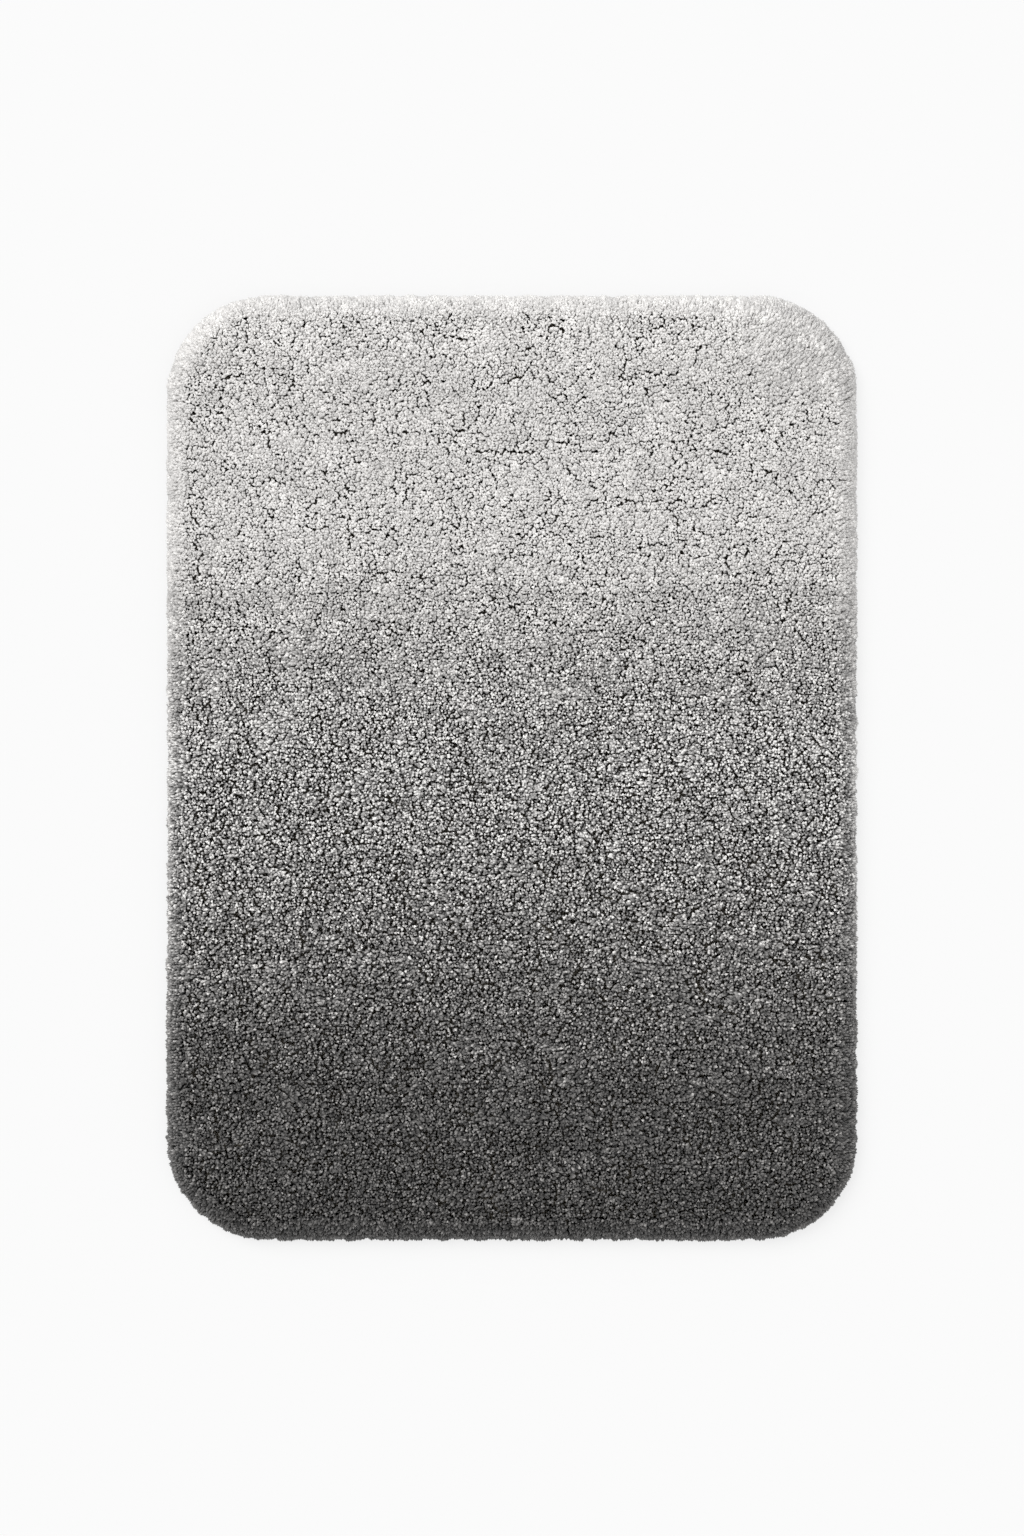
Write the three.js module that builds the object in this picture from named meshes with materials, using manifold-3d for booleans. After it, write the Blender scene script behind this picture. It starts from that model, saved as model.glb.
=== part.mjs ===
// A tufted bath mat with round corners and a cut pile that shades from pale grey to charcoal.
// Frame: millimetres, +Z up, X across the mat, +Y towards the pale end. The origin is the centre of the
// underside. From the floor up the mat is an anti-slip coat, a latex coat that locks the tufts, a woven
// backing cloth with an overlocked edge, and the pile. Every piece is clear of its neighbours by GAP.

import * as THREE from 'three';
import { mergeVertices } from 'three/addons/utils/BufferGeometryUtils.js';
import Module from 'manifold-3d';

const wasm = await Module();
wasm.setup();

// Overall size, tuft tip to tuft tip.
const WIDTH = 550;
const LENGTH = 753;
const HEIGHT = 22;
const CORNER_RADIUS = 80;
const GAP = 0.3;

// Thickness of each layer under the pile.
const ANTI_SLIP_THICKNESS = 1.5;
const LATEX_THICKNESS = 0.7;
const CLOTH_THICKNESS = 0.8;

// How far each edge stands in from the tuft tips of the rim.
const ANTI_SLIP_INSET = 5;
const CLOTH_INSET = 6;
const SEAM_INSET = 4;

// The overlock seam wraps the cloth's cut edge as a band of thread with a leg above and a leg below.
const SEAM_LEG_THICKNESS = 0.8;
const SEAM_WIDTH = 5.7;

// The pile spreads outwards over the seam and its rim is rounded above and below.
const PILE_SPREAD = 10;
const PILE_ROUNDING = 7.5;
const PILE_ROUNDING_STEPS = 4;
const SHADE_COUNT = 12;

// The care label lies in a window of the anti-slip coat near the dark end, held by one row of stitches.
const LABEL_LENGTH = 46;
const LABEL_WIDTH = 26;
const LABEL_THICKNESS = 0.4;
const LABEL_MARGIN = 3;
const LABEL_X = 175;
const LABEL_Y = -335;
const STITCH_LENGTH = 40;
const STITCH_WIDTH = 0.8;
const STITCH_THICKNESS = 0.3;
const STITCH_FROM_EDGE = 4;

const CORNER_STEPS = 12;

// Heights of the layers, worked up from the floor.
const LATEX_BOTTOM = ANTI_SLIP_THICKNESS + GAP;
const LATEX_TOP = LATEX_BOTTOM + LATEX_THICKNESS;
const CLOTH_BOTTOM = LATEX_TOP + GAP;
const CLOTH_TOP = CLOTH_BOTTOM + CLOTH_THICKNESS;
const PILE_BOTTOM = CLOTH_TOP + GAP;
const SEAM_TOP = PILE_BOTTOM + SEAM_LEG_THICKNESS;
const SPREAD_BOTTOM = SEAM_TOP + GAP;
const SEAM_INNER_INSET = SEAM_INSET + SEAM_WIDTH;
const LABEL_TOP = LATEX_BOTTOM - 2 * GAP;
const LABEL_BOTTOM = LABEL_TOP - LABEL_THICKNESS;

// The mat's round-cornered outline, drawn in by an inset.
function outline(inset) {
  const x = WIDTH / 2 - CORNER_RADIUS;
  const y = LENGTH / 2 - CORNER_RADIUS;
  const radius = CORNER_RADIUS - inset;
  const quarter = Math.PI / 2;
  const shape = new THREE.Shape();
  shape.absarc(x, y, radius, 0, quarter);
  shape.absarc(-x, y, radius, quarter, 2 * quarter);
  shape.absarc(-x, -y, radius, 2 * quarter, 3 * quarter);
  shape.absarc(x, -y, radius, 3 * quarter, 4 * quarter);
  shape.closePath();
  return shape;
}

// A flat sheet cut to the outline, from one height to another.
function sheetGeometry(inset, bottom, top) {
  const options = { depth: top - bottom, bevelEnabled: false, curveSegments: CORNER_STEPS };
  return new THREE.ExtrudeGeometry(outline(inset), options).translate(0, 0, bottom);
}

function boxGeometry(lengthX, lengthY, bottom, top, x, y) {
  const box = new THREE.BoxGeometry(lengthX, lengthY, top - bottom);
  return box.translate(x, y, (bottom + top) / 2);
}

function toSolid(geometry) {
  const bare = geometry.clone();
  bare.deleteAttribute('normal');
  bare.deleteAttribute('uv');
  const merged = mergeVertices(bare);
  const mesh = new wasm.Mesh({
    numProp: 3,
    vertProperties: new Float32Array(merged.attributes.position.array),
    triVerts: new Uint32Array(merged.index.array),
  });
  return new wasm.Manifold(mesh);
}

function toGeometry(solid) {
  const mesh = solid.getMesh();
  const geometry = new THREE.BufferGeometry();
  geometry.setAttribute('position', new THREE.BufferAttribute(mesh.vertProperties, mesh.numProp));
  geometry.setIndex(new THREE.BufferAttribute(mesh.triVerts, 1));
  geometry.computeVertexNormals();
  return geometry;
}

const mat = new THREE.Group();

function addPiece(name, geometry, color, roughness) {
  const material = new THREE.MeshStandardMaterial({ color, roughness, metalness: 0 });
  const mesh = new THREE.Mesh(geometry, material);
  mesh.name = name;
  mat.add(mesh);
}

// The anti-slip coat rests on the floor. Its window leaves the care label clear.
function antiSlipBacking() {
  const coat = toSolid(sheetGeometry(ANTI_SLIP_INSET, 0, ANTI_SLIP_THICKNESS));
  const windowLength = LABEL_LENGTH + 2 * LABEL_MARGIN;
  const windowWidth = LABEL_WIDTH + 2 * LABEL_MARGIN;
  const cutter = boxGeometry(windowLength, windowWidth, -1, ANTI_SLIP_THICKNESS + 1, LABEL_X, LABEL_Y);
  return toGeometry(coat.subtract(toSolid(cutter)));
}

// The overlock thread: a band round the outline, slotted for the cloth's edge.
function overlockEdge() {
  const outer = toSolid(sheetGeometry(SEAM_INSET, LATEX_BOTTOM, SEAM_TOP));
  const inner = toSolid(sheetGeometry(SEAM_INNER_INSET, LATEX_BOTTOM - 1, SEAM_TOP + 1));
  const slot = toSolid(sheetGeometry(CLOTH_INSET - GAP, CLOTH_BOTTOM - GAP, CLOTH_TOP + GAP));
  return toGeometry(outer.subtract(inner).subtract(slot));
}

// The whole pile: it stands on the cloth inside the seam, then spreads over the seam with a round rim.
function wholePile() {
  const spread = new THREE.ExtrudeGeometry(outline(PILE_SPREAD), {
    depth: HEIGHT - SPREAD_BOTTOM - 2 * PILE_ROUNDING,
    bevelEnabled: true,
    bevelSize: PILE_SPREAD,
    bevelThickness: PILE_ROUNDING,
    bevelSegments: PILE_ROUNDING_STEPS,
    curveSegments: CORNER_STEPS,
  });
  spread.translate(0, 0, SPREAD_BOTTOM + PILE_ROUNDING);
  const rooted = sheetGeometry(SEAM_INNER_INSET + GAP, PILE_BOTTOM, SPREAD_BOTTOM + 1);
  return toSolid(spread).add(toSolid(rooted));
}

// Grey level of the yarn, from the pale end (0) to the dark end (1).
function yarnShade(along) {
  const pale = 188;
  const dark = 67;
  const paleUntil = 0.15;
  const fall = THREE.MathUtils.smoothstep(along, paleUntil, 1);
  return (pale + (dark - pale) * fall) / 255;
}

// The tufts of one yarn shade fill one strip across the mat, so each strip is a piece of its own.
// Only the sides between two strips are drawn in by half a gap: the mat keeps its full length.
function addPileShades() {
  const pile = wholePile();
  const strip = (LENGTH + GAP) / SHADE_COUNT;
  for (let i = 0; i < SHADE_COUNT; i += 1) {
    const y = (LENGTH + GAP) / 2 - (i + 0.5) * strip;
    const cutter = toSolid(boxGeometry(WIDTH + 2, strip - GAP, 0, HEIGHT + 1, 0, y));
    const grey = yarnShade((i + 0.5) / SHADE_COUNT);
    const color = new THREE.Color().setRGB(grey, grey * 0.99, grey * 0.98, THREE.SRGBColorSpace);
    const number = String(i + 1).padStart(2, '0');
    addPiece(`pile_shade_${number}`, toGeometry(pile.intersect(cutter)), color, 0.95);
  }
}

// The latex coat fills the underside of the cloth inside the seam.
function latexCoat() {
  return sheetGeometry(SEAM_INNER_INSET + GAP, LATEX_BOTTOM, LATEX_TOP);
}

function careLabel() {
  return boxGeometry(LABEL_LENGTH, LABEL_WIDTH, LABEL_BOTTOM, LABEL_TOP, LABEL_X, LABEL_Y);
}

// One straight row of thread under the label's long edge, still clear of the floor.
function labelStitching() {
  const y = LABEL_Y + LABEL_WIDTH / 2 - STITCH_FROM_EDGE;
  const top = LABEL_BOTTOM - GAP;
  return boxGeometry(STITCH_LENGTH, STITCH_WIDTH, top - STITCH_THICKNESS, top, LABEL_X, y);
}

addPiece('anti_slip_backing', antiSlipBacking(), 0xd8d6d1, 0.7);
addPiece('latex_coat', latexCoat(), 0xe6e0d2, 0.6);
addPiece('backing_cloth', sheetGeometry(CLOTH_INSET, CLOTH_BOTTOM, CLOTH_TOP), 0xcfcac0, 0.9);
addPiece('overlock_edge', overlockEdge(), 0x9c9a97, 0.9);
addPiece('care_label', careLabel(), 0xf2f1ee, 0.8);
addPiece('label_stitching', labelStitching(), 0xf7f6f2, 0.8);
addPileShades();

export default mat;
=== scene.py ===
"""A tufted bath mat: a deep cut pile that shades from pale grey to charcoal over a woven, coated base.

The frame gives every place. X runs across the mat, +Y towards the pale end, +Z up through the pile.
"""
import math

import bmesh
import bpy
import numpy as np
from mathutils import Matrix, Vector


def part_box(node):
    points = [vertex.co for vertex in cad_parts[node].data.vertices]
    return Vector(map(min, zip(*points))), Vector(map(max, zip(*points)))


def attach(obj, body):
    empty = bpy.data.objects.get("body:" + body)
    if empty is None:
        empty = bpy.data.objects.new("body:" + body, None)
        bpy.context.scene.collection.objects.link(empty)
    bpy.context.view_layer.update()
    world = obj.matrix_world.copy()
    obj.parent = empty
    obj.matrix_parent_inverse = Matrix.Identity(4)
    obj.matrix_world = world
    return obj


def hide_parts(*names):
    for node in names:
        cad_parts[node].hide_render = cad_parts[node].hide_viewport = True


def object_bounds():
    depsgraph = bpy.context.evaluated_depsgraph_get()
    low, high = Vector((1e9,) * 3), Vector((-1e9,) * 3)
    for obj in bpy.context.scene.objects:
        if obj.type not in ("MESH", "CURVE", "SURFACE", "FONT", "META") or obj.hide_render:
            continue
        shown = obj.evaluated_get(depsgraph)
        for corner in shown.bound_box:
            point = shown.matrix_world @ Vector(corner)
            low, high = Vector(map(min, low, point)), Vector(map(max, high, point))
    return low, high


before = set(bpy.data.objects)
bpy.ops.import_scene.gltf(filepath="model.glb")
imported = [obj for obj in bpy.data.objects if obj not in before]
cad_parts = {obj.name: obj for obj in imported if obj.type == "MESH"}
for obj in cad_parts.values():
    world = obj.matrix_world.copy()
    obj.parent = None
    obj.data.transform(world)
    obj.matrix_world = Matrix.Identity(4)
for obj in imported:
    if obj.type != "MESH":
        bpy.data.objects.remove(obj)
cad_box = [list(corner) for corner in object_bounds()]

MM = 0.001
FULL_TURN = 2 * math.pi
# Radians, a little over a full turn: strands and pips are turned at random by up to this.
ANY_TURN = 7
# Less than this counts as nothing, as a share or in metres.
NOTHING = 1e-6
NEVER_ZERO = 1e-9
FAR_AWAY = 1e9

# ---- The mat's plan, read from the frame ----
HALF_WIDTH, HALF_LENGTH, PILE_TOP = cad_box[1]
CORNER_RADIUS = 80 * MM
SHADE_COUNT = 12
SHADES = [f"pile_shade_{number:02d}" for number in range(1, SHADE_COUNT + 1)]
HALF_STRIP_GAP = 0.15 * MM
ROOT_DEPTH = 0.2 * MM
ROOT_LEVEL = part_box("backing_cloth")[1].z - ROOT_DEPTH
PILE_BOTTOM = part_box(SHADES[0])[0].z


def inset_from_rim(x, y):
    """How far a point lies inside the mat's round-cornered outline, and the unit way out from it."""
    dx = np.abs(x) - (HALF_WIDTH - CORNER_RADIUS)
    dy = np.abs(y) - (HALF_LENGTH - CORNER_RADIUS)
    round_part = np.hypot(np.maximum(dx, 0), np.maximum(dy, 0))
    inset = CORNER_RADIUS - round_part - np.minimum(np.maximum(dx, dy), 0)
    on_corner = (dx > 0) & (dy > 0)
    safe = np.maximum(round_part, NEVER_ZERO)
    out_x = np.where(on_corner, np.maximum(dx, 0) / safe, (dx > dy) * 1.0) * np.sign(x)
    out_y = np.where(on_corner, np.maximum(dy, 0) / safe, (dx <= dy) * 1.0) * np.sign(y)
    return inset, out_x, out_y


def outline_points(step, inset):
    """Points along the mat's outline, drawn in by an inset, about a step apart."""
    radius = CORNER_RADIUS - inset
    across, length = 2 * (HALF_WIDTH - CORNER_RADIUS), 2 * (HALF_LENGTH - CORNER_RADIUS)
    arc = radius * math.pi / 2
    whole = 2 * (across + length) + 4 * arc
    around = np.linspace(0, whole, round(whole / step), endpoint=False)
    x, y = np.zeros_like(around), np.zeros_like(around)
    start = 0.0
    corner = np.array([across / 2, -length / 2])
    way = np.array([0.0, 1.0])
    for side in (length, across, length, across):
        out = np.array([way[1], -way[0]])
        on_side = (around >= start) & (around < start + side)
        run = around[on_side] - start
        x[on_side] = corner[0] + out[0] * radius + way[0] * run
        y[on_side] = corner[1] + out[1] * radius + way[1] * run
        corner = corner + way * side
        start += side
        on_arc = (around >= start) & (around < start + arc)
        turn = (around[on_arc] - start) / radius
        x[on_arc] = corner[0] + radius * (out[0] * np.cos(turn) + way[0] * np.sin(turn))
        y[on_arc] = corner[1] + radius * (out[1] * np.cos(turn) + way[1] * np.sin(turn))
        start += arc
        way = -out
    return x, y


# ---- Smooth and scattered randomness ----
DRIFT_CELLS = 512
# How long and wide a scattered grid is, for half the mat's length and width, so that it runs past the rim.
GRID_COVER = 2.8


def eased(share):
    return share * share * (3 - 2 * share)


def smoothstep(low, high, value):
    return eased(np.clip((value - low) / (high - low), 0, 1))


def drift(x, y, size, seed):
    """A smooth random value from -1 to 1 that changes over about size metres."""
    lattice = np.random.default_rng(seed).uniform(-1, 1, (DRIFT_CELLS, DRIFT_CELLS))
    u, v = x / size + DRIFT_CELLS / 2, y / size + DRIFT_CELLS / 2
    i, j = np.floor(u).astype(int), np.floor(v).astype(int)
    s, t = eased(u - i), eased(v - j)
    i, j = i % (DRIFT_CELLS - 1), j % (DRIFT_CELLS - 1)
    near = lattice[i, j] * (1 - s) + lattice[i + 1, j] * s
    far = lattice[i, j + 1] * (1 - s) + lattice[i + 1, j + 1] * s
    return near * (1 - t) + far * t


def drift_both_ways(x, y, size, seeds):
    return np.stack([drift(x, y, size, seed) for seed in seeds])


def scattered(size, seed, jitter):
    """A staggered grid of points over the mat, each moved at random by up to jitter of its size."""
    rng = np.random.default_rng(seed)
    nx, ny = int(GRID_COVER * HALF_WIDTH / size), int(GRID_COVER * HALF_LENGTH / size)
    moved = rng.uniform(-jitter, jitter, (2, nx, ny))
    i, j = np.meshgrid(np.arange(nx), np.arange(ny), indexing="ij")
    x = (i - nx / 2 + 0.5 * (j % 2) + moved[0]) * size
    y = (j - ny / 2 + moved[1]) * size
    return x, y, rng.uniform(0, 1, (nx, ny))


# ---- How the pile lies ----
# Shares of the mat's length from its pale end: the pile is loose up to the first, tight from the second.
LOOSE_UNTIL, TIGHT_FROM = 0.2, 0.55
# How far tips sway over, in millimetres across and along the mat: whole areas, then lock by lock.
SWAY_SIZE = 20 * MM
SWAY_SEEDS = 31, 33
LOOSE_SWAY, TIGHT_SWAY = (4.0, 4.0), (5.0, 1.5)
LOOSE_STRAY, TIGHT_STRAY = (0.7, 0.7), (2.5, 1.0)
# Radians between the ways that locks lie, and how much less in the loose end and where combed.
LOCK_SPREAD, LOOSE_CALM, COMBED_CALM = 1.4, 0.9, 0.4
# A lock's length for its width, and how much more where combed.
LOCK_LENGTH, COMBED_LENGTH = 1.5, 5.0
# One corner is combed out straight: where from, how far round, how far over, and how much sway that leaves.
COMBED_FROM_EDGES = 25 * MM
COMBED_SIZE = 62 * MM
COMBED_LIE = 8 * MM
COMBING_STILLS = 0.75
# The loose end's rims are combed outwards a little.
RIM_COMBING = 0.6
RIM_COMBED_SIZE = 8 * MM
LOCK_JITTER = 0.42


def pale_end(y):
    """1 in the pale, loosely locked end, 0 in the dark, tight end."""
    return 1 - smoothstep(LOOSE_UNTIL, TIGHT_FROM, 0.5 - y / (2 * HALF_LENGTH))


def combed(x, y):
    """Where the pile is combed out straight, which way, and how strongly: one corner and the rims."""
    inset, out_x, out_y = inset_from_rim(x, y)
    from_corner = np.hypot(x - HALF_WIDTH + COMBED_FROM_EDGES, y - HALF_LENGTH + COMBED_FROM_EDGES)
    corner = np.exp(-(from_corner / COMBED_SIZE) ** 2)
    rim = pale_end(y) * np.exp(-np.maximum(inset, 0) / RIM_COMBED_SIZE) * RIM_COMBING
    way = np.stack([corner + rim * out_x, corner + rim * out_y])
    strength = np.hypot(way[0], way[1])
    return way / np.maximum(strength, NOTHING), np.clip(strength, 0, 1)


def strayed(share, reach):
    """An offset in the way that a share of a turn gives, as far as reach says in millimetres."""
    return MM * np.stack([reach[0] * np.cos(FULL_TURN * share), reach[1] * np.sin(FULL_TURN * share)])


def lying(x, y, share):
    """How far a lock's tips lie over, across and along the mat, and its length for its width."""
    loose = pale_end(y)
    reach = np.stack([slack * loose + firm * (1 - loose) for slack, firm in zip(LOOSE_SWAY, TIGHT_SWAY)])
    lie = drift_both_ways(x, y, SWAY_SIZE, SWAY_SEEDS) * MM * reach
    lie = lie + strayed(share, LOOSE_STRAY) * loose + (1 - loose) * strayed(share, TIGHT_STRAY)
    way, strength = combed(x, y)
    lie = lie * (1 - COMBING_STILLS * strength) + COMBED_LIE * strength * way
    turn = (share - 0.5) * (LOCK_SPREAD - LOOSE_CALM * loose - COMBED_CALM * strength)
    cos, sin = np.cos(turn), np.sin(turn)
    return lie[0] * cos - lie[1] * sin, lie[0] * sin + lie[1] * cos, LOCK_LENGTH + COMBED_LENGTH * strength


def nearest_lock(x, y, size, seed, search):
    """Each point's lock: its middle, how its tips lie and a random share; and the gap to the next lock.

    A lock takes in the points nearest its middle, with distance along its lie counted for less than across.
    """
    cx, cy, share = scattered(size, seed, LOCK_JITTER)
    lie_x, lie_y, length = lying(cx, cy, share)
    nx, ny = cx.shape
    reach = np.hypot(lie_x, lie_y) + NEVER_ZERO
    centre = np.stack([cx, cy, lie_x, lie_y, share])
    metric = np.stack([lie_x / reach, lie_y / reach, 1 / length, length])
    j0 = np.round(y / size + ny / 2).astype(int)
    best = np.full(x.shape, FAR_AWAY)
    second = np.full(x.shape, FAR_AWAY)
    found = np.zeros((len(centre), *x.shape))
    for dj in range(-search, search + 1):
        j = np.clip(j0 + dj, 0, ny - 1)
        i0 = np.round(x / size + nx / 2 - 0.5 * (j % 2)).astype(int)
        for di in range(-search, search + 1):
            i = np.clip(i0 + di, 0, nx - 1)
            dx, dy = x - cx[i, j], y - cy[i, j]
            way_x, way_y, lengthwise, sidewise = metric[:, i, j]
            run, drop = dx * way_x + dy * way_y, dy * way_x - dx * way_y
            distance = np.sqrt(run ** 2 * lengthwise + drop ** 2 * sidewise)
            closer = distance < best
            second = np.where(closer, best, np.minimum(second, distance))
            best = np.where(closer, distance, best)
            found = np.where(closer, centre[:, i, j], found)
    return found, second - best


# ---- The pile's strands ----
STRAND_PITCH = 2.05 * MM
STRAND_JITTER = 0.4
STRAND_RADIUS = 1.3 * MM
STRAND_SIDES = 3
# Height and width of a strand's rings, as shares of its own.
STRAND_PROFILE = ((0.0, 0.6), (0.6, 1.0), (0.88, 0.95), (1.0, 0.0))
# The thinnest and the thickest strand, and how much thicker all are in the loose end.
STRAND_WIDTHS = 0.8, 1.25
LOOSE_THICKER = 0.35
FLATTEST_STRAND = 1.5
STRAND_LUMPS = 0.2
# Powers of the height that a strand leans and rises by. Strands at the rim run straighter.
LEAN_POWER, RIM_STRAIGHTER = 1.9, 0.7
RISE_POWER = 1.7
TIPS_SEED = 11
STRANDS_SEED = 12

# The rim: how far in the top starts to round down, and how far in every root stays.
SHOULDER = 16 * MM
ROOTED_INSET = 10.3 * MM
ROOT_POWER = 1.5
# Rows of strands that dress the rim, by the degrees that they lean out.
RIM_LEANS = (58, 66, 74, 82, 90, 96)
FLAT_OUT = 90
RIM_PITCH = 1.7 * MM
RIM_PROUD = 0.7 * MM
RIM_JITTER = 0.6
RIM_TOLERANCE = 1.2 * MM
# At the rim, a strand keeps this share of its lock's lie and of its height.
RIM_LIE = 0.15
RIM_HEIGHT = 0.07
LEAST_HEIGHT = 1.0 * MM
RIM_DROOP = 1.5 * MM
DROOP_FROM = 0.9
# Past this lean, in radians, tips stand proud or shy of the outline, by areas and by locks.
EDGE_LEAN = 0.9
EDGE_SWELL = 0.9
EDGE_LOCKS = 1.6, -0.6
MIDDLE_LOCK = 0.6

# Locks: their size, the seed they are scattered with, how many grid steps away the nearest can be,
# and the width of the gap round them.
SMALL_LOCK, SMALL_LOCK_SEED, SMALL_LOCK_SEARCH, SMALL_GAP = 3.8 * MM, 22, 3, 0.9 * MM
BROAD_LOCK, BROAD_LOCK_SEED, BROAD_LOCK_SEARCH, BROAD_GAP = 7.5 * MM, 23, 2, 2.2 * MM
# How far the loose end's strands follow the broad locks' lie.
BROAD_SHARE = 0.85
RIPPLE_SIZE, RIPPLE_SEEDS, RIPPLE_REACH = 7 * MM, (32, 34), 1.2 * MM
SWELL_SIZE, SWELL_SEED = 9 * MM, 35
# How much a small lock opens from its middle, how much less in the loose end, and how much a broad one opens.
SMALL_OPEN, LOOSE_CLOSED, BROAD_OPEN = 0.3, 0.9, 0.2

# Measures in millimetres as pairs: the tight end's, and how much more the loose end's is.
STRAY_LEAN = 0.6, -0.25
SMALL_DIP = 3.2, -2.5
BROAD_DIP = 0.0, 1.8
SMALL_UNEVEN = 0.9, -0.75
COMBED_UNEVEN = 1.4
BROAD_UNEVEN = 0.0, 0.8
SWELL_DIP = 0.5, 0.5
CUT_UNEVEN = 1.1, -0.8
TOP_CLEAR = 0.2

# Paleness from 0 to 1, in rows of the map: pairs again where the ends differ.
SHADE_ROWS = 8
PALE_MIDDLE = 0.42, 0.1
PALE_STRANDS = 0.25, -0.11
PALE_SWELL = 0.08, 0.1
PALE_LOCKS, COMBED_PALE_LOCKS = 0.28, 0.6
PALE_BANDS = 0.06
# How much the rim's strands in the dark end are painted darker, as painted shade at the rim.
RIM_PAINTED_SHADE = 0.07
# Faint bands run across the mat, as rows of tufts do, and wander a little.
BAND_WIDTH, BAND_SEED, BAND_STRETCH = 7 * MM, 36, 0.03
WANDER_SIZE, WANDER_SEED, WANDER_REACH = 70 * MM, 37, 4 * MM
# Where strands are seen from the side, the height share that their painted shade goes by follows their
# length, times the last share, and not their height above the floor.
SIDE_FROM, SIDE_TO = 0.2, 0.7
SIDE_SHADE_SHARE = 0.89

# A strand's own map: how much of its length one turn round the strand takes, the margins, and the room left
# for the face that runs past a full turn.
TURN_SPAN = 0.03
MAP_MARGIN, MAP_LENGTH, TURN_ROOM = 0.01, 0.97, 1.1
ROW_MARGIN, ROW_USED = 0.1, 0.8


def by_end(loose, measure):
    """A measure at each spot, from the tight end's and how much more the loose end's is."""
    tight, more = measure
    return tight + more * loose


def strand_tips(rng):
    """Where the tips stand, spread evenly over the mat, and how far those that dress the rim lean."""
    x, y, _ = (a.ravel() for a in scattered(STRAND_PITCH, TIPS_SEED, STRAND_JITTER))
    lean = np.zeros_like(x)
    for degrees in RIM_LEANS:
        inset = SHOULDER * (1 - math.sin(math.radians(min(degrees, FLAT_OUT)))) - RIM_PROUD
        px, py = outline_points(RIM_PITCH, inset)
        x, y = np.concatenate([x, px]), np.concatenate([y, py])
        lean = np.concatenate([lean, np.full(len(px), float(degrees))])
    x = x + rng.uniform(-RIM_JITTER, RIM_JITTER, len(x)) * MM * (lean > 0)
    y = y + rng.uniform(-RIM_JITTER, RIM_JITTER, len(y)) * MM * (lean > 0)
    inset, _, _ = inset_from_rim(x, y)
    kept = (inset > RIM_TOLERANCE) | ((lean > 0) & (inset > -RIM_TOLERANCE))
    return x[kept], y[kept], lean[kept]


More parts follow.
